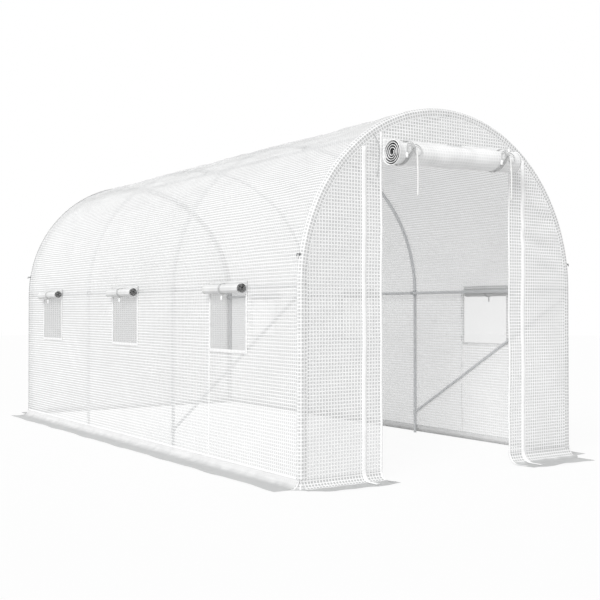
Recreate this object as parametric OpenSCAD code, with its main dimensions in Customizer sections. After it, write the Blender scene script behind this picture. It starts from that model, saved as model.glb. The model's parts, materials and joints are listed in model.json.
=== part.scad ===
// Walk-in polytunnel greenhouse: four round-arched steel hoops under a sewn woven cover,
// with a rolled-up door at one end and three rolled-up window flaps in each side wall.
// Origin at the middle of the footprint on the ground, door end towards -Y, ridge along Y.

/* [Tunnel] */
// Length of the cover from end panel to end panel
tunnel_l = 4200; // [3800:10:4800]
// Width over the cover at the side walls
tunnel_w = 2000; // [1860:10:2300]
// Height of the cover at the ridge
tunnel_h = 2025; // [1950:5:2200]

/* [Frame] */
// Outside diameter of the hoop, rail and ridge tubes
tube_d = 20; // [18:0.5:28]
// Wall of the tubes
tube_wall = 1.2; // [0.8:0.1:2]
// Outside diameter of the diagonal braces
brace_d = 16; // [12:0.5:18]
// Length of the swaged spigot at the top of each leg
spigot_l = 50; // [30:1:80]
// Top of the braces below the side rails
brace_drop = 40; // [37:1:120]
// Height of the foot of the braces
brace_foot = 150; // [80:1:300]
// Thickness of the clamp bands
band_t = 2; // [1:0.1:3]
// Length of the clamp sleeves
clamp_l = 34; // [24:1:36]

/* [Cover] */
// Thickness of the cover sheet
sheet_t = 2; // [1:0.1:4]
// Width of the side skirts on the ground
skirt_w = 150; // [100:5:300]
// Width of the front and back skirts on the ground
end_skirt_w = 200; // [100:5:300]
// Radius where the walls flare into the skirt
flare_r = 45; // [15:1:60]

/* [Door] */
// Clear width of the doorway
door_w = 942; // [800:2:1040]
// Middle of the rolled door below the arch, at the side of the doorway
door_drop = 162; // [120:1:220]
// Length of the rolled door
door_roll_l = 915; // [860:5:1040]
// Outside radius of the rolled door
door_roll_r = 65; // [45:1:75]
// Rolled door off the middle of the doorway
door_roll_x = -7; // [-20:1:20]
// Slope of the rolled door
door_tilt = 1.5; // [0:0.1:2]
// Left tie from the left end of the rolled door
left_tie_inset = 100; // [60:5:300]
// Right tie from the right end of the rolled door
right_tie_inset = 120; // [60:5:300]
// Hanging end of a door tie
door_tail_l = 200; // [80:5:300]
// Width of the door tapes
tape_w = 26; // [12:1:32]
// Distance between the two tapes at each side of the doorway
tape_gap = 82; // [60:1:140]
// Top of the door tapes below the arch
tape_drop = 50; // [30:1:90]

/* [Windows] */
// Clear width of a window
window_w = 405; // [300:5:500]
// Clear height of a window
window_h = 345; // [250:5:450]
// Head of the windows below the springing of the arch
window_drop = 5; // [4:1:60]
// Length of a rolled window flap
flap_roll_l = 415; // [380:5:540]
// Outside radius of a rolled window flap
flap_roll_r = 28.5; // [20:0.5:34]
// Slope of a rolled window flap
flap_tilt = 0.5; // [0:0.1:4]
// Hanging end of a window tie
flap_tail_l = 35; // [20:1:80]
// Width of the window binding
binding_w = 15; // [8:1:25]

/* [Hooks] */
// Diameter of the guy hooks
hook_d = 6; // [4:0.5:8]
// Reach of a guy hook from the cover
hook_reach = 20; // [14:1:30]
// Angle of the guy hooks above the springing of the arch
hook_angle = 9; // [6:0.5:20]

/* [Hidden] */

// Sides of the round shapes, on the wide arcs and on the tubes
arc_steps = 240;
round_steps = 48;
// Steps of the arch in the outline of the end panels
panel_steps = 60;
// Angle by which bent bores run past what they cut
cut_angle = 1;
// Clearance between pieces that are seated on one another
fit = 0.3;
// Length by which cuts run past what they cut
overrun = 10;
// Share of each half of the arch that the haunch sheet covers
haunch_share = 0.35;
// Bays between the hoops from the door end, as shares of the length between the end hoops
bay_shares = [0.342, 0.337, 0.321];
// Middle of the first window, and the distance from window to window, as shares of the length
first_window_share = 0.1743;
window_step_share = 0.34;
// Sewn-on tape: thickness
tape_t = 1.5;
// Window screen: thickness, and how far it runs behind the wall round the opening
screen_t = 1;
screen_lap = 12;
// Rolled sheet: thickness, pitch of the door's turns and of a flap's turns
roll_sheet_t = 2;
door_pitch = 9;
flap_pitch = 6;
// Turns of a roll, counted in half turns
door_half_turns = 9;
flap_half_turns = 5;
// Sewn edge of a rolled sheet above its roll
roll_seam = 18;
// Ties: strap width and thickness on the door and on the windows, and their toggles
door_strap_w = 24;
flap_strap_w = 16;
strap_t = 1.4;
door_toggle_r = 8;
flap_toggle_r = 5;
// Arc of a tie round its roll, to each side of the front of the roll, and where its end hangs below the front
strap_angle = 125;
tail_angle = 50;
// Guy hook: washer and hanging tip
hook_washer_r = 8;
hook_washer_t = 2;
hook_tip = 14;

// Arch of the cover: a half circle that springs from the top of the upright walls
half_w = tunnel_w / 2;
spring_z = tunnel_h - half_w;
// Height of the arch at a distance from the middle
function arch_z(x) = spring_z + sqrt(pow(half_w, 2) - pow(x, 2));

// Middle lines of the frame inside the cover
tube_r = tube_d / 2;
bore_r = tube_r + fit;
clamp_r = bore_r + band_t;
tube_inset = sheet_t + fit + clamp_r;
leg_x = half_w - tube_inset;
cross_step = tube_d + band_t + 2 * fit;
rail_x = leg_x - cross_step;
rail_z = spring_z;
hoop_top = tunnel_h - tube_inset;
ridge_z = hoop_top - cross_step;
joint_z = spring_z - spigot_l;
inside_l = tunnel_l - 2 * (sheet_t + fit);
last_hoop = len(bay_shares);
first_hoop_y = tube_inset - tunnel_l / 2;
// Place of a hoop, from the bays before it
function hoop_y(i) = i == 0 ? first_hoop_y : hoop_y(i - 1) - 2 * first_hoop_y * bay_shares[i - 1];

// Cover, door and windows
cover_z = sheet_t + flare_r;
panel_x = half_w - sheet_t - fit;
door_x = door_w / 2;
door_head = arch_z(door_x) - door_drop;
window_head = spring_z - window_drop;
window_sill = window_head - window_h;
windows = [0 : last_hoop - 1];
function window_y(i) = (first_window_share + i * window_step_share) * tunnel_l - tunnel_l / 2;
// A roll stands off the wall by the tape behind it
roll_stand = tape_t + 2 * fit;
outer_tape_x = door_x + tape_gap + tape_w;

// Placing: the right-hand piece or its mirror image
module on_side(side) {
    if (side < 0) mirror([1, 0, 0]) children();
    else children();
}
// Turns a drawing in the arch's plane upright, at a place along the tunnel
module upright(y) {
    translate([0, y, 0]) rotate([90, 0, 0]) children();
}
// Stands a piece on the outside of a wall: X along the wall, Y outwards
module on_left_wall(y) {
    translate([-half_w, y, 0]) rotate([0, 0, 90]) children();
}
module on_right_wall(y) {
    translate([half_w, y, 0]) rotate([0, 0, -90]) children();
}
module on_front(x) {
    translate([x, -tunnel_l / 2, 0]) rotate([0, 0, 180]) children();
}
module on_back() {
    translate([0, tunnel_l / 2, 0]) children();
}
// Runs a section drawn as outwards and up along the wall, centred
module along_wall(length) {
    translate([-length / 2, 0, 0]) rotate([90, 0, 90]) children();
}

// Straight tube along Z
module tube(d, length) {
    difference() {
        cylinder(d = d, h = length, $fn = round_steps);
        translate([0, 0, -overrun])
            cylinder(d = d - 2 * tube_wall, h = length + 2 * overrun, $fn = round_steps);
    }
}
// Rod bent along an arc
module bent_rod(radius, start, sweep, d) {
    rotate([0, 0, start]) rotate_extrude(angle = sweep, $fn = arc_steps)
        translate([radius, 0]) circle(d = d, $fn = round_steps);
}
// Sheet bent along an arc, its outside at the radius
module bent_sheet(radius, start, sweep, thickness, length, steps = arc_steps) {
    rotate([0, 0, start]) rotate_extrude(angle = sweep, $fn = steps)
        translate([radius - thickness, 0]) square([thickness, length]);
}

// Leg: a tube with its top swaged to a spigot that fits into the bow
module leg() {
    spigot_r = tube_r - tube_wall - fit;
    difference() {
        union() {
            cylinder(r = tube_r, h = joint_z, $fn = round_steps);
            cylinder(r = spigot_r, h = joint_z + spigot_l - fit, $fn = round_steps);
        }
        translate([0, 0, -overrun])
            cylinder(r = tube_r - tube_wall, h = joint_z - tube_wall + overrun, $fn = round_steps);
        translate([0, 0, -overrun])
            cylinder(r = spigot_r - tube_wall, h = spring_z + 2 * overrun, $fn = round_steps);
    }
}
module legs(side) {
    color("silver") on_side(side) for (i = [0 : last_hoop]) translate([leg_x, hoop_y(i), 0]) leg();
}
module left_legs() legs(-1);
module right_legs() legs(1);

// Bow: a socket over the leg's spigot, then half the arch, up to the other bow inside the ridge clamp
module bow(i, side) {
    core_d = tube_d - 2 * tube_wall;
    gap_angle = fit * 180 / (PI * leg_x);
    color("silver") on_side(side) difference() {
        union() {
            translate([leg_x, hoop_y(i), joint_z + fit])
                cylinder(d = tube_d, h = spigot_l - fit, $fn = round_steps);
            upright(hoop_y(i)) translate([0, spring_z, 0]) bent_rod(leg_x, 0, 90 - gap_angle / 2, tube_d);
        }
        translate([leg_x, hoop_y(i), joint_z - overrun])
            cylinder(d = core_d, h = spigot_l + overrun, $fn = round_steps);
        upright(hoop_y(i)) translate([0, spring_z, 0]) bent_rod(leg_x, 0, 90 + cut_angle, core_d);
    }
}
module front_left_bow() bow(0, -1);
module front_right_bow() bow(0, 1);
module second_left_bow() bow(1, -1);
module second_right_bow() bow(1, 1);
module third_left_bow() bow(2, -1);
module third_right_bow() bow(2, 1);
module back_left_bow() bow(last_hoop, -1);
module back_right_bow() bow(last_hoop, 1);

// Long tubes inside the hoops
module long_tube(x, z) {
    color("silver") translate([x, inside_l / 2, z]) rotate([90, 0, 0]) tube(tube_d, inside_l);
}
module left_rail() long_tube(-rail_x, rail_z);
module right_rail() long_tube(rail_x, rail_z);
module ridge_pole() long_tube(0, ridge_z);

// Cross clamp at the origin: a sleeve round the hoop along Z, and a shorter one round the long tube inside it
module cross_clamp() {
    difference() {
        union() {
            cylinder(r = clamp_r, h = clamp_l, center = true, $fn = round_steps);
            translate([-cross_step, 0, 0]) rotate([90, 0, 0])
                cylinder(r = clamp_r, h = 2 * clamp_r, center = true, $fn = round_steps);
        }
        cylinder(r = bore_r, h = clamp_l + 2 * overrun, center = true, $fn = round_steps);
        translate([-cross_step, 0, 0]) rotate([90, 0, 0])
            cylinder(r = bore_r, h = clamp_l + 2 * overrun, center = true, $fn = round_steps);
    }
}
module rail_clamps(side) {
    color("gray") on_side(side) for (i = [0 : last_hoop]) translate([leg_x, hoop_y(i), rail_z]) cross_clamp();
}
module left_rail_clamps() rail_clamps(-1);
module right_rail_clamps() rail_clamps(1);
module ridge_clamps() {
    color("gray") for (i = [0 : last_hoop])
        translate([0, hoop_y(i), hoop_top]) rotate([0, -90, 0]) cross_clamp();
}

// Brace from the front hoop's leg down to the foot of the second leg, with a sleeve at each end
module brace(side) {
    run = hoop_y(1) - hoop_y(0);
    head = rail_z - brace_drop;
    fall = head - brace_foot;
    color("silver") on_side(side) difference() {
        union() {
            translate([leg_x, hoop_y(0), head]) rotate([-90 - atan2(fall, run), 0, 0])
                tube(brace_d, norm([run, fall]));
            translate([leg_x, hoop_y(0), head])
                cylinder(r = clamp_r, h = clamp_l, center = true, $fn = round_steps);
            translate([leg_x, hoop_y(1), brace_foot])
                cylinder(r = clamp_r, h = clamp_l, center = true, $fn = round_steps);
        }
        for (i = [0, 1])
            translate([leg_x, hoop_y(i), 0]) cylinder(r = bore_r, h = spring_z, $fn = round_steps);
    }
}
module left_brace() brace(-1);
module right_brace() brace(1);

// Side walls with the windows cut through
module wall(side) {
    color("whitesmoke") on_side(side) difference() {
        translate([half_w - sheet_t, -tunnel_l / 2, cover_z]) cube([sheet_t, tunnel_l, spring_z - cover_z]);
        for (i = windows)
            translate([half_w - sheet_t - overrun, window_y(i) - window_w / 2, window_sill])
                cube([sheet_t + 2 * overrun, window_w, window_h]);
    }
}
module left_wall() wall(-1);
module right_wall() wall(1);

// Curved cover: haunches, then the roof up to the ridge
haunch_angle = 90 * haunch_share;
module curved_cover(side, from, sweep) {
    color("whitesmoke") on_side(side) upright(tunnel_l / 2) translate([0, spring_z, 0])
        bent_sheet(half_w, from, sweep, sheet_t, tunnel_l);
}
module left_haunch() curved_cover(-1, 0, haunch_angle);
module right_haunch() curved_cover(1, 0, haunch_angle);
module left_roof() curved_cover(-1, haunch_angle, 90 - haunch_angle);
module right_roof() curved_cover(1, haunch_angle, 90 - haunch_angle);

// Outline of the end panels inside the curved cover: up the right wall, over the arch and down the left wall
panel_outline = concat(
    [[panel_x, cover_z]],
    [for (k = [0 : panel_steps]) let (a = 180 * k / panel_steps)
        [panel_x * cos(a), spring_z + panel_x * sin(a)]],
    [[-panel_x, cover_z]]);
module end_panel(y) {
    upright(y + sheet_t) linear_extrude(sheet_t) polygon(panel_outline);
}
module front_side_panel(side) {
    color("whitesmoke") on_side(side) intersection() {
        end_panel(-tunnel_l / 2);
        translate([door_x, -tunnel_l / 2 - overrun, 0]) cube([half_w, sheet_t + 2 * overrun, tunnel_h]);
    }
}
module front_left_panel() front_side_panel(-1);
module front_right_panel() front_side_panel(1);
module front_top_panel() {
    color("whitesmoke") intersection() {
        end_panel(-tunnel_l / 2);
        translate([-door_x, -tunnel_l / 2 - overrun, door_head])
            cube([door_w, sheet_t + 2 * overrun, tunnel_h]);
    }
}
module back_panel() {
    color("whitesmoke") end_panel(tunnel_l / 2 - sheet_t);
}

// Skirt: flares from the wall and lies on the ground
module skirt(length, width) {
    along_wall(length) {
        translate([flare_r, cover_z, 0])
            bent_sheet(flare_r + sheet_t, 180, 90, sheet_t, length, round_steps);
        translate([flare_r, 0, 0]) cube([width - flare_r, sheet_t, length]);
    }
}
front_skirt_l = panel_x - door_x;
front_skirt_x = door_x + front_skirt_l / 2;
module left_skirt() {
    color("gainsboro") on_left_wall(0) skirt(tunnel_l, skirt_w);
}
module right_skirt() {
    color("gainsboro") on_right_wall(0) skirt(tunnel_l, skirt_w);
}
module back_skirt() {
    color("gainsboro") on_back() skirt(2 * panel_x, end_skirt_w);
}
module front_left_skirt() {
    color("gainsboro") on_front(-front_skirt_x) skirt(front_skirt_l, end_skirt_w);
}
module front_right_skirt() {
    color("gainsboro") on_front(front_skirt_x) skirt(front_skirt_l, end_skirt_w);
}

// Rolled sheet: hangs down the wall, then turns outwards in half turns about two centres
module rolled_sheet(length, radius, pitch, half_turns) {
    along_wall(length) translate([roll_stand + radius, 0, 0]) {
        translate([-radius, 0, 0]) cube([roll_sheet_t, radius + roll_seam, length]);
        for (k = [0 : half_turns - 1]) {
            upper = k % 2;
            translate([upper * pitch / 2, 0, 0])
                bent_sheet(radius - k * pitch / 2, 180 * (1 - upper), 180, roll_sheet_t, length, round_steps);
        }
    }
}
// Tie: a strap round the roll, with a hanging end that carries a toggle
module roll_tie(radius, strap_w, tail_l, toggle_r) {
    strap_r = radius + fit + strap_t;
    middle_r = strap_r - strap_t / 2;
    along_wall(strap_w) translate([roll_stand + radius, 0, 0]) {
        bent_sheet(strap_r, -strap_angle, 2 * strap_angle, strap_t, strap_w, round_steps);
        translate([middle_r * cos(tail_angle), -middle_r * sin(tail_angle) - tail_l, 0]) {
            translate([-strap_t / 2, 0, 0]) cube([strap_t, tail_l, strap_w]);
            cylinder(r = toggle_r, h = strap_w, $fn = round_steps);
        }
    }
}

// Hangs a piece at the head of the doorway, along the slope of the rolled door
module at_door_roll(x) {
    on_front(door_roll_x) translate([0, 0, door_head])
        rotate([0, door_tilt, 0]) translate([-x, 0, 0]) children();
}
// Rolled door, sewn to the panel between the tapes
door_seam_l = min(door_roll_l, door_w - 2 * (abs(door_roll_x) + overrun));
module door_flap() {
    color("whitesmoke") at_door_roll(0) {
        rolled_sheet(door_roll_l, door_roll_r, door_pitch, door_half_turns);
        along_wall(door_seam_l) translate([fit, door_roll_r, 0])
            cube([roll_stand, roll_seam / 2, door_seam_l]);
    }
}
module door_ties() {
    color("white") for (x = [left_tie_inset - door_roll_l / 2, door_roll_l / 2 - right_tie_inset])
        at_door_roll(x) roll_tie(door_roll_r, door_strap_w, door_tail_l, door_toggle_r);
}
// Sewn tapes beside the doorway
module tape(x) {
    top = arch_z(x + tape_w) - tape_drop;
    translate([x, fit, cover_z]) cube([tape_w, tape_t, top - cover_z]);
}
module door_tapes() {
    color("white") for (side = [-1, 1]) on_side(side) translate([0, -tunnel_l / 2 - tape_t - 2 * fit, 0]) {
        tape(door_x);
        tape(outer_tape_x);
    }
}

// Places a piece outside every window of one wall
module at_windows(side) {
    for (i = windows) {
        if (side < 0) on_left_wall(window_y(i)) children();
        else on_right_wall(window_y(i)) children();
    }
}
// Hangs a piece at the head of every window, along the slope of the rolled flaps, lower towards the back
module at_flaps(side) {
    at_windows(side) translate([0, 0, window_head]) rotate([0, -side * flap_tilt, 0]) children();
}
module window_screens(side) {
    color("dimgray") at_windows(side)
        translate([-window_w / 2 - screen_lap, -sheet_t - fit - screen_t, window_sill - screen_lap])
        cube([window_w + 2 * screen_lap, screen_t, window_h + 2 * screen_lap]);
}
module left_window_screens() window_screens(-1);
module right_window_screens() window_screens(1);

// Binding: tape sewn round the opening
module window_bindings(side) {
    color("white") at_windows(side) translate([-window_w / 2, fit, window_sill]) difference() {
        translate([-binding_w, 0, -binding_w])
            cube([window_w + 2 * binding_w, tape_t, window_h + 2 * binding_w]);
        translate([0, -overrun, 0]) cube([window_w, tape_t + 2 * overrun, window_h]);
    }
}
module left_window_bindings() window_bindings(-1);
module right_window_bindings() window_bindings(1);

module window_flaps(side) {
    color("whitesmoke") at_flaps(side) rolled_sheet(flap_roll_l, flap_roll_r, flap_pitch, flap_half_turns);
}
module left_window_flaps() window_flaps(-1);
module right_window_flaps() window_flaps(1);

module window_ties(side) {
    color("white") at_flaps(side) roll_tie(flap_roll_r, flap_strap_w, flap_tail_l, flap_toggle_r);
}
module left_window_ties() window_ties(-1);
module right_window_ties() window_ties(1);

// Guy hook on the curved cover, just above the springing of an end hoop
module guy_hook() {
    hook_r = hook_d / 2;
    shank = hook_reach - hook_r;
    translate([0, fit, 0]) rotate([-90, 0, 0]) {
        cylinder(r = hook_washer_r, h = hook_washer_t, $fn = round_steps);
        cylinder(r = hook_r, h = shank, $fn = round_steps);
    }
    translate([0, fit + shank, 0]) sphere(r = hook_r, $fn = round_steps);
    translate([0, fit + shank, -hook_tip]) cylinder(r = hook_r, h = hook_tip, $fn = round_steps);
}
module guy_hooks() {
    color("dimgray") for (side = [-1, 1]) on_side(side) for (y = [hoop_y(0), hoop_y(last_hoop)])
        translate([0, y, spring_z]) rotate([0, -hook_angle, 0])
        translate([half_w, 0, 0]) rotate([0, 0, -90]) guy_hook();
}

left_legs();
right_legs();
front_left_bow();
front_right_bow();
second_left_bow();
second_right_bow();
third_left_bow();
third_right_bow();
back_left_bow();
back_right_bow();
left_rail();
right_rail();
ridge_pole();
left_brace();
right_brace();
left_rail_clamps();
right_rail_clamps();
ridge_clamps();
left_wall();
right_wall();
left_haunch();
right_haunch();
left_roof();
right_roof();
front_left_panel();
front_right_panel();
front_top_panel();
back_panel();
left_skirt();
right_skirt();
back_skirt();
front_left_skirt();
front_right_skirt();
door_flap();
door_ties();
door_tapes();
left_window_screens();
right_window_screens();
left_window_bindings();
right_window_bindings();
left_window_flaps();
right_window_flaps();
left_window_ties();
right_window_ties();
guy_hooks();
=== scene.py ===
import json
import math

import bpy
import numpy as np
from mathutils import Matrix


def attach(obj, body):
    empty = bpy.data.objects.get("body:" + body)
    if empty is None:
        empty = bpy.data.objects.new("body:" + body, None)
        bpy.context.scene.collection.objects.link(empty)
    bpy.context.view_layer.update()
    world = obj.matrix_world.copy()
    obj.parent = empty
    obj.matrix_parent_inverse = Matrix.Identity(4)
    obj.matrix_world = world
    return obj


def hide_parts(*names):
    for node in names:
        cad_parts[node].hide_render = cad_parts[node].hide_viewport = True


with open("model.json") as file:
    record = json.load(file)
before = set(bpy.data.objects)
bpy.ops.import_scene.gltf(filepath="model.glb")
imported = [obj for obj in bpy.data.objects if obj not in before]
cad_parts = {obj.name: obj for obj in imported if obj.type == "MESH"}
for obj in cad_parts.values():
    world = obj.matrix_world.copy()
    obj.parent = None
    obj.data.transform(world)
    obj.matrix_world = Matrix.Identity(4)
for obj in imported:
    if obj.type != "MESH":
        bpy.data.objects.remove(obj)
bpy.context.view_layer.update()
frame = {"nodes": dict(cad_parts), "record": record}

# Polytunnel greenhouse: a woven see-through cover over steel hoops, door and windows rolled up.
# Everything is in metres, door end towards -Y, ridge along Y, ground at zero.

tunnel = {
    "half": 1.0, "spring": 1.025, "front": -2.1, "back": 2.1,  # half width, springing of the arch, end planes
    "edgeRound": 0.018, "flareTop": 0.047,  # round over the end hoops, top of the skirt
    "hoops": (-2.085, -0.659, 0.747, 2.085),  # places of the hoops along the tunnel
    "windows": (-1.368, 0.060, 1.488), "windowHalf": 0.2025,  # middles of the windows, half their width
    "sill": 0.675, "head": 1.020,
    "doorHalf": 0.471, "doorHead": 1.7451,
}
front, back, spring, flareTop, edgeRound = (tunnel[k] for k in ("front", "back", "spring", "flareTop", "edgeRound"))
windows, windowHalf, sill, head = (tunnel[k] for k in ("windows", "windowHalf", "sill", "head"))
doorHalf, doorHead = tunnel["doorHalf"], tunnel["doorHead"]
windowEdges = np.array([[y - windowHalf, y + windowHalf] for y in windows])
bothSides = ((-1, "left"), (1, "right"))


# meshes

def crossed(a, b):
    # every pair from two lines of numbers, as two grids
    return np.meshgrid(a, b, indexing="ij")


def gridPart(x, y, z, u, v, keep=None, turned=False):
    # one patch of points with its UV in metres; a quad is a point, its neighbour in the row and the same two of the
    # next row; keep drops the quads of an opening
    x, y, z, u, v = np.broadcast_arrays(x, y, z, u, v)
    rows, cols = x.shape
    i, j = crossed(np.arange(rows - 1), np.arange(cols - 1))
    a = i * cols + j
    quads = np.stack([a, a + 1, a + cols + 1, a + cols], -1)
    quads = quads.reshape(-1, 4) if keep is None else quads[keep]
    if turned:
        quads = quads[:, ::-1]
    return np.stack([x, y, z], -1).reshape(-1, 3), quads, np.stack([u, v], -1).reshape(-1, 2)


def linesWith(base, fixed, gap):
    # base lines that stand clear of the fixed ones, and the fixed ones, in order
    fixed = np.asarray(fixed, float)
    clear = np.abs(base[:, None] - fixed[None]).min(axis=1) > gap
    return np.sort(np.concatenate([base[clear], fixed]))


def runAlong(*axes):
    # length of a line of points from its start to each point
    steps = np.linalg.norm(np.diff(np.stack(axes), axis=1), axis=0)
    return np.concatenate([[0], np.cumsum(steps)])


def addPiece(name, parts, finish, replaced=(), thick=0.0):
    # joins the patches: each patch's corner numbers move on by the corners before it
    starts = np.cumsum([0] + [len(p[0]) for p in parts])
    points = np.concatenate([p[0] for p in parts])
    quads = np.concatenate([p[1] + s for p, s in zip(parts, starts)])
    uv = np.concatenate([p[2] for p in parts])
    used = np.unique(quads)
    renumber = np.zeros(len(points), int)
    renumber[used] = np.arange(len(used))
    mesh = bpy.data.meshes.new(name)
    mesh.from_pydata(points[used].tolist(), [], renumber[quads].tolist())
    layer = mesh.uv_layers.new(name="metres")
    layer.data.foreach_set("uv", uv[quads.reshape(-1)].astype(np.float32).ravel())
    mesh.polygons.foreach_set("use_smooth", np.ones(len(quads), bool))
    mesh.materials.append(finish)
    piece = bpy.data.objects.new(name, mesh)
    bpy.context.collection.objects.link(piece)
    if thick:
        wall = piece.modifiers.new("thickness", "SOLIDIFY")
        wall.thickness = thick
        wall.offset = 0
    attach(piece, "root")
    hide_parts(*replaced)
    return piece


tubeMesh = {"sides": 8, "tip": 1e-5, "uvTurn": 0.005, "steep": 0.9}  # steep: rise past which X gives the side


def tubeAlong(path, radius, sides=tubeMesh["sides"]):
    # round tube: a circle carried along the path, square to the path's direction at each point, closed at the ends
    ahead = np.gradient(path, axis=0)
    ahead /= np.linalg.norm(ahead, axis=1)[:, None]
    ref = np.where(np.abs(ahead[:, 2:3]) > tubeMesh["steep"], [[1.0, 0, 0]], [[0, 0, 1.0]])
    side = np.cross(ahead, ref)
    side /= np.linalg.norm(side, axis=1)[:, None]
    over = np.cross(side, ahead)
    rings = (path, side, over, runAlong(*path.T))
    path, side, over, run = (np.concatenate([k[:1], k, k[-1:]]) for k in rings)
    radius = np.pad(np.broadcast_to(radius, len(path) - 2), 1, constant_values=tubeMesh["tip"])
    a = np.linspace(0, 2 * np.pi, sides + 1)
    circle = np.cos(a)[None, :, None] * side[:, None] + np.sin(a)[None, :, None] * over[:, None]
    p = path[:, None] + radius[:, None, None] * circle
    return gridPart(*np.moveaxis(p, -1, 0), run[:, None], a[None] * tubeMesh["uvTurn"], turned=True)


def smoothLine(points, count):
    # cubic through the given points: each stretch leaves and enters along the line between its neighbours
    points = np.asarray(points, float)
    slope = np.gradient(points, axis=0)
    t = np.linspace(0, len(points) - 1, count)
    k = np.minimum(t.astype(int), len(points) - 2)
    f = (t - k)[:, None]
    a, b, p, q = points[k], points[k + 1], slope[k], slope[k + 1]
    start, end = 2 * f**3 - 3 * f**2 + 1, 3 * f**2 - 2 * f**3
    return start * a + (f**3 - 2 * f**2 + f) * p + end * b + (f**3 - f**2) * q


def barrel(t, blunt):
    # share of the full radius along a rounded barrel, t from -1 at one end to 1 at the other
    return np.sqrt(np.clip(blunt - t**4, 0, None))


def waves(u, v, table):
    # sum of plane waves; a row of the table is height, wavelength, direction in degrees, phase
    total = np.zeros(np.broadcast(u, v).shape)
    for height, length, turn, phase in table:
        a = math.radians(turn)
        total = total + height * np.sin(2 * np.pi * (u * math.cos(a) + v * math.sin(a)) / length + phase)
    return total


# shader nodes

noiseLook = {"detail": 3.0, "middle": (0.3, 0.7)}


def feed(tree, socket, value):
    # another node's output is linked to the socket, a number or a colour is set on it
    if isinstance(value, bpy.types.NodeSocket):
        tree.links.new(value, socket)
    else:
        socket.default_value = (*value, 1) if socket.type == "RGBA" else value


def addNode(tree, kind, inputs):
    # one shader node, its inputs fed by name or by number
    node = tree.nodes.new("ShaderNode" + kind)
    for key, value in inputs.items():
        feed(tree, node.inputs[key], value)
    return node


def newFinish(name):
    # empty material and its node tree
    finish = bpy.data.materials.new(name)
    finish.use_nodes = True
    finish.node_tree.nodes.clear()
    return finish, finish.node_tree


def calc(tree, operation, *values):
    # one math node
    node = addNode(tree, "Math", dict(enumerate(values)))
    node.operation = operation
    return node.outputs[0]


def ramp(tree, value, start, end, low, high, smooth=True):
    # low up to start, high from end on, eased or straight in between
    node = addNode(tree, "MapRange", dict(enumerate((value, start, end, low, high))))
    node.interpolation_type = "SMOOTHSTEP" if smooth else "LINEAR"
    return node.outputs[0]


def blendColour(tree, factor, low, high, kind="MIX"):
    # from the low colour to the high one by the factor, or their product
    node = addNode(tree, "Mix", {})
    node.data_type, node.blend_type = "RGBA", kind
    for key, value in (("Factor", factor), (6, low), (7, high)):
        feed(tree, node.inputs[key], value)
    return node.outputs[2]


def toned(colour, share):
    # the colour times the share
    return tuple(share * c for c in colour)


def mixShaders(tree, share, first, second):
    # from the first shader to the second by the share
    return addNode(tree, "MixShader", {0: share, 1: first.outputs[0], 2: second.outputs[0]})


def coordinates(tree, kind):
    # UV or Object coordinates
    return addNode(tree, "TexCoord", {}).outputs[kind]


def noise(tree, where, scale):
    # soft random values
    return addNode(tree, "TexNoise", {"Vector": where, "Scale": scale, "Detail": noiseLook["detail"]}).outputs["Fac"]


def patches(tree, where, scale, low, high, smooth=True):
    # noise stretched from low to high over the middle of its range
    return ramp(tree, noise(tree, where, scale), *noiseLook["middle"], low, high, smooth)


def bump(tree, height, strength, distance):
    # height to a bent normal
    return addNode(tree, "Bump", {"Strength": strength, "Distance": distance, "Height": height}).outputs["Normal"]


def lineMask(tree, value, pitch, width, soft):
    # one on a grid line: distance to the nearest line, eased over the line's edge
    half, ease = width / pitch / 2, soft / pitch / 2
    cell = calc(tree, "FRACT", calc(tree, "MULTIPLY", value, 1 / pitch))
    away = calc(tree, "ABSOLUTE", calc(tree, "SUBTRACT", cell, 0.5))
    return ramp(tree, away, half - ease, half + ease, 1, 0)


# woven sheet

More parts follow.
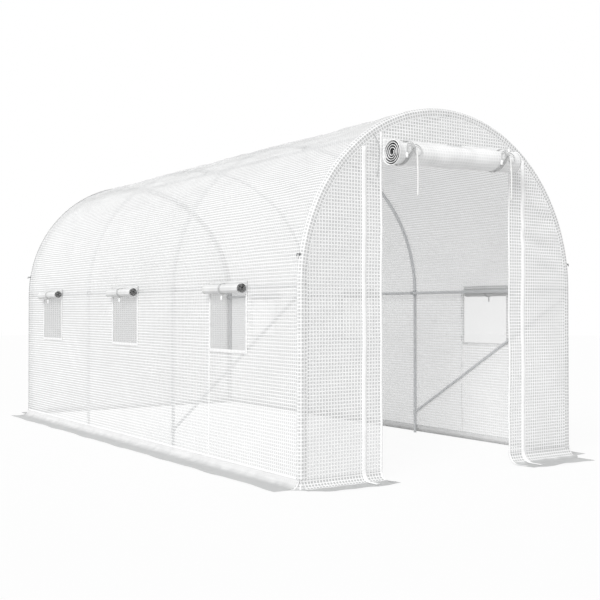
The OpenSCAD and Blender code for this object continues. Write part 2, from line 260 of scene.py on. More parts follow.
weave = {
    "pitch": (0.0189, 0.0183), "yarn": 0.0061, "soft": 0.0030,  # square grid of white yarns
    "roughness": 0.45, "specular": 0.3, "bump": (0.5, 0.0008),
    "mottle": (3.0, 0.965),  # size and darkest tone of the plain mottle
    "ragged": (14.0, 0.012),  # size and reach of the painted shade's ragged edge
    "turnEdge": 0.01, "endEdge": 0.002, "backShift": 0.12,  # edges of the painted shade on the inner turns, and its start at the back
    "creaseScale": (2.0, 11.0, 1.0), "creaseRange": (0.32, 0.68),  # creases run along the tunnel
    "creaseCore": 0.35, "creaseLeast": 0.08,
}
looks = {
    # colour of yarns and cells, how much each hides what is behind it, and the share of light let through
    # painted light: the cover's cells ramp lighter towards the back of the tunnel
    "wovenCover": {"yarn": (0.97, 0.972, 0.972), "cell": (0.74, 0.745, 0.745), "solid": (0.92, 0.57), "glow": 0.18,
                   "cross": 0.6, "crumple": (2.547, 0.85, 0.25, 14.0), "paintedLightRamp": (1.2, 3.8, (0.81, 0.815, 0.815))},
    "endPanel": {"yarn": (0.97, 0.972, 0.972), "cell": (0.66, 0.665, 0.665), "solid": (0.96, 0.66), "glow": 0.20},
    # painted shade: the hem's cells ramp darker towards its right side
    "doubledHem": {"yarn": (0.97, 0.97, 0.97), "cell": (0.64, 0.645, 0.645), "solid": (1.0, 0.95), "glow": 0.12,
                   "paintedLightRamp": (1.15, 1.85, (0.60, 0.605, 0.605)), "mottle": (26.0, 0.90)},
    # inside: painted shade on the hidden inner turns at each roll's ends
    "rolledDoor": {"yarn": (0.95, 0.95, 0.95), "cell": (0.83, 0.835, 0.835), "solid": (1.0, 1.0), "glow": 0.04,
                   "inside": (0.47, -1.0, (0.22, 0.225, 0.23)), "mottle": (9.0, 0.90)},
    "rolledFlap": {"yarn": (0.91, 0.91, 0.91), "cell": (0.77, 0.775, 0.775), "solid": (1.0, 1.0), "glow": 0.12,
                   "lines": (1,), "inside": (0.10, 0.196, (0.030, 0.031, 0.033)), "mottle": (14.0, 0.92)},
    # painted shade: the skirts are the cover cloth made darker, and grey where they lie on the ground
    "endSkirt": {"yarn": (0.88, 0.88, 0.88), "cell": (0.50, 0.505, 0.505), "solid": (1.0, 0.95), "glow": 0.05,
                 "ground": (0.056, 0.088, (0.47, 0.475, 0.475))},
    "sideSkirt": {"yarn": (0.78, 0.78, 0.78), "cell": (0.75, 0.75, 0.75), "solid": (1.0, 0.97), "glow": 0.05,
                  "ground": (0.005, 0.075, (0.50, 0.505, 0.505))},
}


def wovenFinish(name, look):
    # the nearer of the two sets of grid lines is yarn and the rest see-through cells, then the look's own changes
    finish, tree = newFinish(name)
    where = coordinates(tree, "UV")
    u, v = addNode(tree, "SeparateXYZ", {0: where}).outputs[:2]
    masks = [lineMask(tree, (u, v)[k], weave["pitch"][k], weave["yarn"], weave["soft"])
             for k in look.get("lines", (0, 1))]
    masks[0] = calc(tree, "MULTIPLY", masks[0], look.get("cross", 1.0))
    yarn = calc(tree, "MAXIMUM", masks[0], masks[-1])
    cell = look["cell"]
    if "paintedLightRamp" in look:  # painted light and shade: other cells farther along
        start, end, paintedCell = look["paintedLightRamp"]
        cell = blendColour(tree, ramp(tree, u, start, end, 0, 1), cell, paintedCell)
    colour = blendColour(tree, yarn, cell, look["yarn"])
    if "ground" in look:  # painted shade: grey where the skirt lies on the ground
        start, end, grey = look["ground"]
        size, reach = weave["ragged"]
        raggedRun = calc(tree, "ADD", v, patches(tree, where, size, -reach, reach, False))
        colour = blendColour(tree, ramp(tree, raggedRun, start, end, 0, 1), colour, grey)
    if "inside" in look:  # painted shade: dark hidden inner turns at the ends of a roll
        start, edge, dark = look["inside"]
        behind = calc(tree, "MULTIPLY", calc(tree, "GREATER_THAN", u, 0.0), weave["backShift"])
        hidden = ramp(tree, calc(tree, "SUBTRACT", v, behind), start, start + weave["turnEdge"], 0, 1)
        nearEnd = ramp(tree, calc(tree, "ABSOLUTE", u), edge, edge + weave["endEdge"], 0, 1)
        colour = blendColour(tree, calc(tree, "MULTIPLY", hidden, nearEnd), colour, dark)
    size, tone = look.get("mottle", weave["mottle"])
    colour = blendColour(tree, 1.0, colour, patches(tree, where, size, tone, 1.0), "MULTIPLY")
    height = yarn
    if "crumple" in look:  # long creases by the ridge: painted shade in tone, and height
        place, reach, tone, size = look["crumple"]
        stretched = addNode(tree, "Mapping", {"Vector": where, "Scale": weave["creaseScale"]}).outputs[0]
        away = calc(tree, "ABSOLUTE", calc(tree, "SUBTRACT", v, place))
        near = ramp(tree, away, weave["creaseCore"] * reach, reach, 1, weave["creaseLeast"])
        fold = ramp(tree, noise(tree, stretched, 1.0), *weave["creaseRange"], 0, 1)
        crease = calc(tree, "MULTIPLY", fold, near)
        # painted shade: the creases darken the colour
        shade = calc(tree, "SUBTRACT", 1.0, calc(tree, "MULTIPLY", crease, tone))
        colour = blendColour(tree, 1.0, colour, shade, "MULTIPLY")
        height = calc(tree, "ADD", yarn, calc(tree, "MULTIPLY", crease, size))
    film = addNode(tree, "BsdfPrincipled", {
        "Base Color": colour, "Normal": bump(tree, height, *weave["bump"]),
        "Roughness": weave["roughness"], "Specular IOR Level": weave["specular"]})
    sheet = mixShaders(tree, look["glow"], film, addNode(tree, "BsdfTranslucent", {"Color": colour}))
    hides = ramp(tree, yarn, 0, 1, look["solid"][1], look["solid"][0], False)
    whole = mixShaders(tree, hides, addNode(tree, "BsdfTransparent", {}), sheet)
    addNode(tree, "OutputMaterial", {0: whole.outputs[0]})
    return finish


# tape, screen and steel

tapeLook = {
    "ribs": 0.0016, "fineRibs": 0.0012, "ribsPerScale": 20, "ripple": 0.4,
    "fuzz": (60.0, 0.75, 1.0), "dark": 0.90, "roughness": 0.62, "sheen": 0.15, "bump": (0.35, 0.0004),
}
screen = {
    "pitch": 0.0021, "thread": 0.0005, "soft": 0.3,  # soft: share of the thread that is its edge
    "colour": (0.70, 0.705, 0.705), "dull": 0.9, "solid": (0.46, 0.23), "roughness": 0.6,
}
steelLook = {"dark": 0.85, "crystal": 0.9, "grain": 240.0, "spread": 0.08, "bump": (0.12, 0.0005)}


def tapeFinish(name, colour, ribs, through=0.0):
    # woven tape: fine ribs across the tape, painted a little darker between them as shade in the grooves; through is
    # the share of light let through
    finish, tree = newFinish(name)
    where = coordinates(tree, "UV")
    wave = addNode(tree, "TexWave", {"Vector": where, "Scale": 1 / ribs / tapeLook["ribsPerScale"],
                                     "Distortion": tapeLook["ripple"]})
    rib = calc(tree, "MULTIPLY", wave.outputs["Fac"], patches(tree, where, *tapeLook["fuzz"]))
    cloth = addNode(tree, "BsdfPrincipled", {
        "Base Color": blendColour(tree, rib, toned(colour, tapeLook["dark"]), colour),
        "Normal": bump(tree, rib, *tapeLook["bump"]),
        "Roughness": tapeLook["roughness"], "Sheen Weight": tapeLook["sheen"]})
    whole = mixShaders(tree, through, cloth, addNode(tree, "BsdfTranslucent", {"Color": colour}))
    addNode(tree, "OutputMaterial", {0: whole.outputs[0]})
    return finish


def screenFinish(name):
    # insect screen: fine square mesh of thin threads with open holes
    finish, tree = newFinish(name)
    lines = addNode(tree, "SeparateXYZ", {0: coordinates(tree, "UV")}).outputs[:2]
    soft = screen["soft"] * screen["thread"]
    thread = calc(tree, "MAXIMUM", *(lineMask(tree, k, screen["pitch"], screen["thread"], soft) for k in lines))
    cloth = addNode(tree, "BsdfPrincipled", {
        "Base Color": blendColour(tree, thread, toned(screen["colour"], screen["dull"]), screen["colour"]),
        "Roughness": screen["roughness"]})
    hides = ramp(tree, thread, 0, 1, screen["solid"][1], screen["solid"][0], False)
    whole = mixShaders(tree, hides, addNode(tree, "BsdfTransparent", {}), cloth)
    addNode(tree, "OutputMaterial", {0: whole.outputs[0]})
    return finish


def steelFinish(name, colour, rough, metal, spangle):
    # galvanised steel: zinc spangle in patches, a little bump and uneven gloss
    finish, tree = newFinish(name)
    where = coordinates(tree, "Object")
    crystal = addNode(tree, "TexVoronoi", {"Vector": where, "Scale": spangle}).outputs["Distance"]
    patch = ramp(tree, crystal, 0.0, steelLook["crystal"], 0, 1)
    grain = noise(tree, where, steelLook["grain"])
    spread = steelLook["spread"]
    steel = addNode(tree, "BsdfPrincipled", {
        "Base Color": blendColour(tree, patch, toned(colour, steelLook["dark"]), colour), "Metallic": metal,
        "Roughness": ramp(tree, grain, *noiseLook["middle"], rough - spread, rough + spread),
        "Normal": bump(tree, grain, *steelLook["bump"])})
    addNode(tree, "OutputMaterial", {0: steel.outputs[0]})
    return finish


woven = {name: wovenFinish(name, look) for name, look in looks.items()}
whiteTape = tapeFinish("whiteTape", (0.98, 0.98, 0.98), tapeLook["ribs"])
bindingTape = tapeFinish("bindingTape", (0.98, 0.98, 0.98), tapeLook["ribs"], through=0.30)
tieWebbing = tapeFinish("tieWebbing", (0.92, 0.92, 0.91), tapeLook["fineRibs"])
# painted shade: a grey copy of the white webbing, standing in for the shade on the door ties, window ties and pull cord
shadedWebbing = tapeFinish("shadedWebbing", (0.52, 0.525, 0.525), tapeLook["fineRibs"])
meshScreen = screenFinish("insectScreen")
slotFinish = {
    "galvanised_tube": steelFinish("galvanisedTube", (0.65, 0.66, 0.67), rough=0.42, metal=0.15, spangle=90.0),
    "clamp_steel": steelFinish("clampSteel", (0.50, 0.51, 0.52), rough=0.42, metal=0.7, spangle=140.0),
    "hook_steel": steelFinish("hookSteel", (0.24, 0.245, 0.25), rough=0.45, metal=0.4, spangle=300.0),
}
print("finishes made")


# frame: the CAD solids keep their shape and get their steel

for row in frame["record"]["subparts"]:
    if row["material_slot"] in slotFinish:
        mesh = frame["nodes"][row["node"]].data
        mesh.materials.clear()
        mesh.materials.append(slotFinish[row["material_slot"]])
print("frame finished")


# cover over the hoops

cover = {
    "radius": 0.9990, "step": 0.021, "columns": 200, "bendSteps": 6, "clear": 0.006,
    "roofSag": 0.008, "wallSag": 0.004, "settle": 0.0012,  # dip between two hoops, and all over the walls
    "wallEase": 0.3, "crown": 0.42,  # walls go slack above their foot, reach of the ridge's folds
    "ridgeFolds": ((0.0042, 0.135, 62, 0.4), (0.0028, 0.093, 118, 1.7), (0.0042, 0.24, 80, 2.6)),
    "wallFolds": ((0.0014, 0.62, 24, 0.2), (0.0010, 0.41, 150, 1.1), (0.0005, 0.17, 75, 2.0)),
    # folds in one place: along the tunnel, up the profile, reach each way, height, wavelength, direction, phase
    "pulls": ((-0.93, 0.82, 0.13, 0.16, 0.0046, 0.115, 42, 0.3), (0.42, 0.80, 0.11, 0.14, 0.0034, 0.10, 45, 1.0),
              (-1.70, 2.28, 0.34, 0.26, 0.0058, 0.165, 58, 0.8), (-1.86, 1.62, 0.18, 0.24, 0.0036, 0.125, 112, 2.0),
              (-0.10, 2.18, 0.50, 0.30, 0.0056, 0.230, 22, 0.1), (1.40, 2.25, 0.45, 0.26, 0.0048, 0.190, 35, 1.5),
              (-1.62, 0.90, 0.10, 0.12, 0.0030, 0.090, 135, 0.2), (-0.45, 0.48, 0.22, 0.20, 0.0030, 0.120, 38, 0.9),
              (0.95, 0.50, 0.30, 0.22, 0.0030, 0.140, 140, 0.4)),
}
half = cover["radius"]
wallRise = spring - flareTop
archRun = math.pi * half
profileRun = 2 * wallRise + archRun
archNodes = ["left_wall", "right_wall", "left_haunch", "right_haunch", "left_roof", "right_roof"]


def archPlace(s, out):
    # up the left wall, round the half circle and down the right wall; out moves a point off the cover
    turn = np.clip((s - wallRise) / half, 0, math.pi)
    r = half + out
    below = np.clip(wallRise - s, 0, None) + np.clip(s - wallRise - archRun, 0, None)
    return -r * np.cos(turn), spring + r * np.sin(turn) - below


def coverOut(s, y):
    # dip between the hoops, deepest in the middle of a bay, plus shallow folds that grow towards the ridge
    hoops = np.array(tunnel["hoops"])
    bay = np.clip(np.searchsorted(hoops, y) - 1, 0, len(hoops) - 2)
    along = np.clip((y - hoops[bay]) / (hoops[bay + 1] - hoops[bay]), 0, 1)
    dip = np.sin(math.pi * along) ** 2
    lift = np.sin(np.clip((s - wallRise) / half, 0, math.pi))
    free = np.clip(np.sin(math.pi * along), 0, 1) ** 0.5
    wall = np.clip(s / cover["wallEase"], 0, 1) * np.clip((profileRun - s) / cover["wallEase"], 0, 1)
    crown = np.exp(-(((s - profileRun / 2) / cover["crown"]) ** 2))
    near = np.minimum(s, profileRun - s)
    pulled = sum(np.exp(-(((y - p[0]) / p[2]) ** 2) - ((near - p[1]) / p[3]) ** 2) * waves(y, near, (p[4:],))
                 for p in cover["pulls"])
    sag = cover["wallSag"] * wall + (cover["roofSag"] - cover["wallSag"]) * lift
    folds = crown * waves(y, s, cover["ridgeFolds"]) + wall * waves(y, s, cover["wallFolds"]) + pulled
    return -sag * dip + free * folds - cover["settle"] * wall


def coverArch():
    # the cover's profile carried along the tunnel; both ends turn inwards round the end hoops, windows left open
    low, high = sill - flareTop, head - flareTop
    s = linesWith(np.linspace(0, profileRun, int(profileRun / cover["step"])),
                  [0, low, high, wallRise, profileRun - wallRise, profileRun - high, profileRun - low, profileRun],
                  cover["clear"])
    ends = (front + edgeRound, back - edgeRound)
    y = linesWith(np.linspace(*ends, cover["columns"]), [*ends, *windowEdges.ravel()], cover["clear"])
    bend = np.linspace(0, math.pi / 2, cover["bendSteps"])[:-1]
    ahead, sunk = edgeRound * (1 - np.cos(bend)), edgeRound * (1 - np.sin(bend))
    yAll = np.concatenate([front + ahead, y, back - ahead[::-1]])
    inAll = np.concatenate([sunk, 0 * y, sunk[::-1]])
    run = runAlong(yAll, inAll)
    ss, yy = crossed(s, yAll)
    x, z = archPlace(ss, coverOut(ss, yy) - inAll[None])
    sc, yc = (s[1:] + s[:-1]) / 2, (yAll[1:] + yAll[:-1]) / 2
    near = np.minimum(sc, profileRun - sc)
    inHeight = (near > low) & (near < high)
    inWidth = ((yc[:, None] > windowEdges[:, 0]) & (yc[:, None] < windowEdges[:, 1])).any(axis=1)
    part = gridPart(x, yy, z, run[None], ss, ~(inHeight[:, None] & inWidth[None]), turned=True)
    openings = 2 * len(windows) * (high - low) * 2 * windowHalf
    return part, (profileRun, float(run[-1])), profileRun * run[-1] - openings


archPart, archFlat, archArea = coverArch()
coverMain = addPiece("coverMain", [archPart], woven["wovenCover"], archNodes)
print("cover made")


# end panels

panel = {
    "columns": 110, "lowRows": 84, "highRows": 14, "headShare": 0.918, "clear": 0.008, "tiny": 1e-6,
    "lowEase": 0.25, "edgeEase": 0.10,  # folds die out at the foot and at the arch
    "folds": ((0.0020, 0.55, 80, 0.3), (0.0012, 0.33, 20, 1.2), (0.0007, 0.14, 110, 0.5)),
    "drag": ((0.0100, 0.150, 74, 0.9), (0.0050, 0.095, 66, 2.2)),  # folds pulled towards the top of the right strip
    "dragAt": (0.78, 1.42), "dragReach": (0.17, 0.27),
}
panelRadius = half - edgeRound


def panelOut(x, z):
    # shallow folds over the panel, stronger slanting ones on the right strip under the arch
    low = np.clip((z - flareTop) / panel["lowEase"], 0, 1)
    rim = np.hypot(x, np.clip(z - spring, 0, None))
    edge = np.clip((panelRadius - rim) / panel["edgeEase"], 0, 1)
    (atX, atZ), (reachX, reachZ) = panel["dragAt"], panel["dragReach"]
    pulled = np.exp(-(((x - atX) / reachX) ** 2)) * np.exp(-(((z - atZ) / reachZ) ** 2))
    return low * edge * waves(x, z, panel["folds"]) + edge * pulled * waves(x, z, panel["drag"])


def endPanel(y, outward, door):
    # columns up to the arch, closer together at the sides; two rows of bands meet at the head of the doorway
    doorTurns = np.arcsin(np.array([-1, 1]) * doorHalf / panelRadius)
    turn = linesWith(np.linspace(-math.pi / 2, math.pi / 2, panel["columns"]),
                     [-math.pi / 2, math.pi / 2, *doorTurns], panel["clear"])
    x, top = panelRadius * np.sin(turn), spring + panelRadius * np.cos(turn)
    overDoor = np.abs(x) <= doorHalf + panel["tiny"]
    middle = np.where(overDoor, doorHead, flareTop + panel["headShare"] * (top - flareTop))
    up = np.concatenate([np.linspace(0, 1, panel["lowRows"] + 1),
                         1 + np.linspace(0, 1, panel["highRows"] + 1)[1:]])[:, None]
    z = np.where(up <= 1, flareTop + up * (middle - flareTop), middle + (up - 1) * (top - middle))
    keep = np.ones((len(up) - 1, len(x) - 1), bool)
    area = 2 * panelRadius * (spring - flareTop) + math.pi * panelRadius**2 / 2
    if door:
        keep[:panel["lowRows"], np.abs((x[1:] + x[:-1]) / 2) < doorHalf] = False
        area -= 2 * doorHalf * (doorHead - flareTop)
    x = x[None]
    return gridPart(x, y + outward * panelOut(x, z), z, x, z, keep, turned=outward > 0), area


frontPart, frontArea = endPanel(front, -1, True)
frontCover = addPiece("frontCover", [frontPart], woven["endPanel"],
                      ["front_left_panel", "front_right_panel", "front_top_panel"])
backPart, backArea = endPanel(back, 1, False)
backCover = addPiece("backCover", [backPart], woven["endPanel"], ["back_panel"])
print("end panels made")


# skirts

skirt = {
    "flare": 0.045, "flareSteps": 13, "steps": 26,
    "rest": 0.0035, "ripple": 0.9,  # outer edge off the ground, share of the ripples
    "sideRipples": ((0.0022, 0.62, 0, 0.4), (0.0014, 0.31, 0, 1.9)),
    "sideEdge": ((0.0025, 1.3, 0, 0.7), (0.0015, 0.5, 0, 2.1)),
    "endRipples": ((0.0032, 0.37, 0, 0.4), (0.0020, 0.19, 0, 1.9)),
    "endEdge": ((0.006, 0.7, 0, 0.7), (0.003, 0.3, 0, 2.1)),
}
endHalf = 0.9975
sideRun = (front, back, 190)
skirts = {
    # which way it faces, its run along the wall with the columns, width, phase of its ripples
    "leftSkirt": {"node": "left_skirt", "facing": (-1, 0), "run": sideRun, "width": 0.150, "phase": 0.0},
    "rightSkirt": {"node": "right_skirt", "facing": (1, 0), "run": sideRun, "width": 0.150, "phase": 0.35},
    "backSkirt": {"node": "back_skirt", "facing": (0, 1), "run": (-endHalf, endHalf, 90), "width": 0.190,
                  "phase": 0.6},
    "frontLeftSkirt": {"node": "front_left_skirt", "facing": (0, -1), "run": (-endHalf, -doorHalf, 40),
                       "width": 0.160, "phase": 0.1, "corner": (-endHalf, 0.12, 0.25)},
    "frontRightSkirt": {"node": "front_right_skirt", "facing": (0, -1), "run": (doorHalf, endHalf, 40),
                        "width": 0.198, "phase": 0.8, "flare": 0.066},
}


def skirtPlace(row, along, run):
    # down the wall, round the flare and out over the ground; ripples lift the outer edge a little
    kind, flare, width = "side" if row["facing"][0] else "end", row.get("flare", skirt["flare"]), row["width"]
    turn = np.clip(run / flare, 0, math.pi / 2)
    flat = np.clip(run - flare * math.pi / 2, 0, None)
    share = flat / (width - flare)
    wavy, ripple = (waves(along + row["phase"], 0 * along, skirt[kind + what]) for what in ("Edge", "Ripples"))
    out = flare * (1 - np.cos(turn)) + flat * (1 + wavy / width)
    lift = skirt["ripple"] * share * np.clip(skirt["rest"] + ripple, 0.0, None)
    return out, flareTop + flare - skirt["flare"] - flare * np.sin(turn) + lift


def skirtPart(row):
    # the skirt's section carried along the wall, cut back towards a corner of the tunnel where the row says so
    flare, facing = row.get("flare", skirt["flare"]), row["facing"]
    bent, along = flare * math.pi / 2, np.linspace(*row["run"])
    run = np.concatenate([np.linspace(0, bent, skirt["flareSteps"])[:-1],
                          np.linspace(bent, bent + row["width"] - flare, skirt["steps"])])
    aa, qq = crossed(along, run)
    out, z = skirtPlace(row, aa, qq)
    if "corner" in row:
        side, reach, least = row["corner"]
        away = np.clip(np.abs(aa - side) / reach, 0, 1)
        out = out - np.clip(out - flare, 0, None) * (1 - least) * (1 - away * away * (3 - 2 * away))
    x, y = (facing[0] * (half + out), aa) if facing[0] else (aa, facing[1] * (back + out))
    return gridPart(x, y, z, aa, qq, turned=facing[1] > facing[0]), (abs(along[-1] - along[0]), float(run[-1]))


for name, row in skirts.items():
    part, flat = skirtPart(row)
    finish = woven["sideSkirt" if row["facing"][0] else "endSkirt"]
    piece = addPiece(name, [part], finish, [row["node"]])

gusset = {"steps": (13, 14), "foot": 0.012, "lift": 0.0012, "pucker": 0.004, "puckers": 6, "uvTurn": 0.03}
flareRun = skirt["flare"] * math.pi / 2


def gussetPart(sideX, sideY):
    # corner of the skirt: the flare turned a quarter round the end hoop's foot
    tt, qq = crossed(np.linspace(0, math.pi / 2, gusset["steps"][0]),
                     np.linspace(0, flareRun + gusset["foot"], gusset["steps"][1]))
    bend = np.clip(qq / skirt["flare"], 0, math.pi / 2)
    r = edgeRound + skirt["flare"] * (1 - np.cos(bend)) + np.clip(qq - flareRun, 0, None)
    r = r + gusset["pucker"] * np.sin(gusset["puckers"] * tt) * qq / flareRun
    x, y = sideX * (panelRadius + r * np.cos(tt)), sideY * (back - edgeRound + r * np.sin(tt))
    z = flareTop - skirt["flare"] * np.sin(bend) + gusset["lift"]
    return gridPart(x, y, z, tt * gusset["uvTurn"], qq, turned=sideX * sideY > 0)


addPiece("cornerGussets", [gussetPart(i, j) for i in (-1, 1) for j in (-1, 1)], woven["endSkirt"])
print("skirts made")


# tapes: hems over the end hoops, door tapes, wall seams

hem = {"lift": 0.0014, "side": 0.006, "front": 0.010, "facing": 0.020, "facingLift": 0.0011,
       "rows": 340, "bendSteps": 7, "facingSteps": 6}
hemRun = np.linspace(0, profileRun, hem["rows"])


def hemPart(y, outward):
    # strip along the whole profile: along the side, over the round of the end hoop, then down the end panel
    rho, lift = edgeRound, hem["lift"]
    bend = np.linspace(math.pi / 2, 0, hem["bendSteps"])
    out = np.concatenate([[lift, lift], -rho + (rho + lift) * np.sin(bend), -rho - np.array([0.5, 1]) * hem["front"]])
    inwards = np.concatenate([rho + np.array([1, 0.5]) * hem["side"], rho - (rho + lift) * np.cos(bend),
                              [-lift, -lift]])
    ss, oo = crossed(hemRun, out)
    x, z = archPlace(ss, oo)
    return gridPart(x, y - outward * inwards[None], z, ss, runAlong(out, inwards)[None], turned=outward > 0)


def facingPart(y, outward):
    # turned-over edge of the cover on an end panel: a strip that follows the profile, its mesh lying along it
    ss, ii = crossed(hemRun, edgeRound + hem["front"] + np.linspace(0, hem["facing"], hem["facingSteps"]))
    x, z = archPlace(ss, -ii)
    return gridPart(x, y + outward * (panelOut(x, z) + hem["facingLift"]), z, ss, ii, turned=outward > 0)


tapes = {
    "inner": 0.014, "outer": 0.026, "outerAt": 0.579, "thick": 0.0010,
    "innerTop": 1.848, "outerTops": (1.762, 1.788), "foot": 0.075,  # left and right tops, length on the ground
    "lift": 0.0016, "crown": 0.0010, "footLift": 0.0022, "rows": 70, "footRows": 32, "columns": 7,
}


def tapePart(x0, x1, top, row):
    # upright strip on the front with a shallow crown, carried on down over the flare of the skirt
    flare, x = row.get("flare", skirt["flare"]), np.linspace(x0, x1, tapes["columns"])
    zz, xx = crossed(np.linspace(top, flareTop + flare - skirt["flare"], tapes["rows"])[:-1], x)
    lift = tapes["lift"] + tapes["crown"] * np.sin(math.pi * (xx - x0) / (x1 - x0))
    y = front - panelOut(xx, zz) - lift
    qq, xLow = crossed(np.linspace(0, flare * math.pi / 2 + tapes["foot"], tapes["footRows"]), x)
    out, z = skirtPlace(row, xLow, qq)
    turn = np.clip(qq / flare, 0, math.pi / 2)
    out, z = out + tapes["footLift"] * np.cos(turn), z + tapes["footLift"] * np.sin(turn)
    xx, y, zz = np.concatenate([xx, xLow]), np.concatenate([y, front - out]), np.concatenate([zz, z])
    middle = tapes["columns"] // 2
    return gridPart(xx, y, zz, xx - x0, runAlong(y[:, middle], zz[:, middle])[:, None], turned=True)


doorParts = []
for side, outerTop, name in zip((-1, 1), tapes["outerTops"], ("frontLeftSkirt", "frontRightSkirt")):
    for start, wide, top in ((doorHalf, tapes["inner"], tapes["innerTop"]),
                             (tapes["outerAt"], tapes["outer"], outerTop)):
        x0, x1 = sorted((side * start, side * (start + wide)))
        doorParts.append(tapePart(x0, x1, top, skirts[name]))
doorTapes = addPiece("doorTapes", doorParts, whiteTape, ["door_tapes"], tapes["thick"])
addPiece("hoopHems", [hemPart(front, -1), hemPart(back, 1)], woven["doubledHem"])
addPiece("endFacings", [facingPart(front, -1), facingPart(back, 1)], woven["endPanel"])

seam = {"at": (-1.150, -1.140), "top": 0.975, "foot": 0.011, "inset": 0.03, "lift": 0.0014,
        "steps": (60, 5), "footSteps": (4, 200)}


def wallStrip(side, yRange, top, steps):
    # strip on a side wall from its foot up, following the cover's own dips
    ss, yy = crossed(np.linspace(0, top, steps[0]), np.linspace(*yRange, steps[1]))
    x, z = archPlace(ss, coverOut(ss, yy) + seam["lift"])
    return gridPart(-side * x, yy, z, yy, ss, turned=side < 0)


wholeWall = (front + seam["inset"], back - seam["inset"])
seams = [wallStrip(side, seam["at"], seam["top"], seam["steps"]) for side in (-1, 1)]
seams += [wallStrip(side, wholeWall, seam["foot"], seam["footSteps"]) for side in (-1, 1)]
addPiece("wallSeams", seams, whiteTape)
print("tapes made")


# windows

window = {
    "binding": 0.015, "crown": 0.0012, "lift": 0.0012, "lap": 0.2,  # lap: share of the binding inside the opening
    "sideSteps": 12, "columns": 7, "uvSide": 0.1,
    "billow": 0.005, "behind": 0.0028, "margin": 0.010, "screenSteps": 15, "screenFlat": (0.425, 0.365),
}
windowMiddle, windowUp = (sill + head) / 2, (head - sill) / 2


def bindingPart(side, y):
    # strip round the opening: from the inner to the outer rectangle, crowned across its width
    b, lap = window["binding"], window["lap"]
    corners = np.array([[-1, 0], [1, 0], [1, 1], [-1, 1], [-1, 0]], float)
    t = np.linspace(0, 4, 4 * window["sideSteps"] + 1)
    k = np.minimum(t.astype(int), 3)
    f = (t - k)[:, None]
    ring = corners[k] * (1 - f) + corners[k + 1] * f
    w = np.linspace(-lap, 1, window["columns"])[None]
    yy = y + ring[:, :1] * (windowHalf + b * w)
    zz = windowMiddle + (2 * ring[:, 1:] - 1) * (windowUp + b * w)
    x = half + window["lift"] + window["crown"] * np.sin(math.pi * (w + lap) / (1 + lap))
    return gridPart(side * x, yy, zz, t[:, None] * window["uvSide"], b * w, turned=side < 0)


def screenPart(side, y):
    # screen behind the opening, blown a little inwards in the middle
    a = np.linspace(-1, 1, window["screenSteps"])
    yy, zz = crossed(a, a)
    inwards = window["behind"] + window["billow"] * (1 - yy**2) * (1 - zz**2)
    yy, zz = y + (windowHalf + window["margin"]) * yy, windowMiddle + (windowUp + window["margin"]) * zz
    return gridPart(side * (half - inwards), yy, zz, yy, zz, turned=side > 0)


for side, word in bothSides:
    addPiece(word + "Bindings", [bindingPart(side, y) for y in windows], bindingTape,
                              [word + "_window_bindings"])
    for k, y in enumerate(windows):
        piece = addPiece(f"{word}Screen{k + 1}", [screenPart(side, y)], meshScreen,
                         [word + "_window_screens"] if k == 0 else [])
print("windows made")


# rolled sheets: the door and the window flaps

rolls = {
    "door": {"radius": 0.0645, "core": 0.011, "turns": 4.6, "length": 0.921, "lift": 0.0024, "seam": 0.018,
             "dent": 0.0020, "recess": 0.004, "flare": 0.15, "rim": 0.0021, "x": -0.007, "tilt": 1.5},
    "flap": {"radius": 0.0283, "core": 0.0055, "turns": 3.4, "length": 0.424, "lift": 0.0024, "seam": 0.016,
             "dent": 0.0005, "recess": 0.002, "flare": 0.05, "rim": 0.0005, "shift": -0.006,
             "tilts": (-0.2, -0.2, -1.3)},
}
rollMesh = {
    "thick": 0.0009, "perTurn": 44, "hangSteps": 8, "columns": 61, "endShare": 0.88,  # where the flared end starts
    "dentFrom": 0.012, "dentDepth": 1.5,  # dents clear of the wall, and how soon they end inwards
    "slantDent": (7, 2), "crossDent": (0.7, 19, 3),  # waves along and round the roll, the second with its share
}


def spiral(r):
    # hangs down behind the roll, then turns outwards and inwards; the radius falls evenly from outside to core
    a = np.linspace(0, 2 * math.pi * r["turns"], int(rollMesh["perTurn"] * r["turns"]))
    k = a / a[-1]
    rad = r["radius"] - (r["radius"] - r["core"]) * k
    hang = np.linspace(r["radius"] + r["seam"], 0, rollMesh["hangSteps"])[:-1]
    out = np.concatenate([0 * hang, r["radius"] - rad * np.cos(a)])
    up = np.concatenate([hang, -rad * np.sin(a)])
    return out, up, runAlong(out, up), np.concatenate([0 * hang, k]), np.concatenate([0 * hang, np.ones(len(a))])


def rollGrid(r, along, tilt):
    # the spiral carried along the roll; the open end flares, inner turns stand back, and dents run round the outside
    out, up, run, depth, rolled = spiral(r)
    oo, aa = crossed(out, along)
    uu, kk, ro, rr = (v[:, None] for v in (up, depth, rolled, run))
    angle = np.arctan2(uu, oo - r["radius"])
    span, share = r["length"], rollMesh["endShare"]
    (slantAlong, slantRound), (part, crossAlong, crossRound) = rollMesh["slantDent"], rollMesh["crossDent"]
    dent = np.sin(slantAlong * aa / span * math.pi + slantRound * angle)
    dent = r["dent"] * (dent + part * np.sin(crossRound * angle + crossAlong * aa))
    dent = dent * np.clip(1 - rollMesh["dentDepth"] * kk, 0, 1) * ro * np.clip(oo / rollMesh["dentFrom"], 0, 1)
    oo, uu = oo + dent * np.cos(angle), uu + dent * np.sin(angle)
    end = np.clip((np.abs(aa) / (span / 2) - share) / (1 - share), 0, 1)
    grow = 1 + r["flare"] * np.where(aa < 0, end**2, 0) * ro
    moved = aa - np.sign(aa) * r["recess"] * kk * end
    return moved, oo * grow + r["lift"], uu * grow + moved * math.tan(math.radians(tilt)), rr, aa


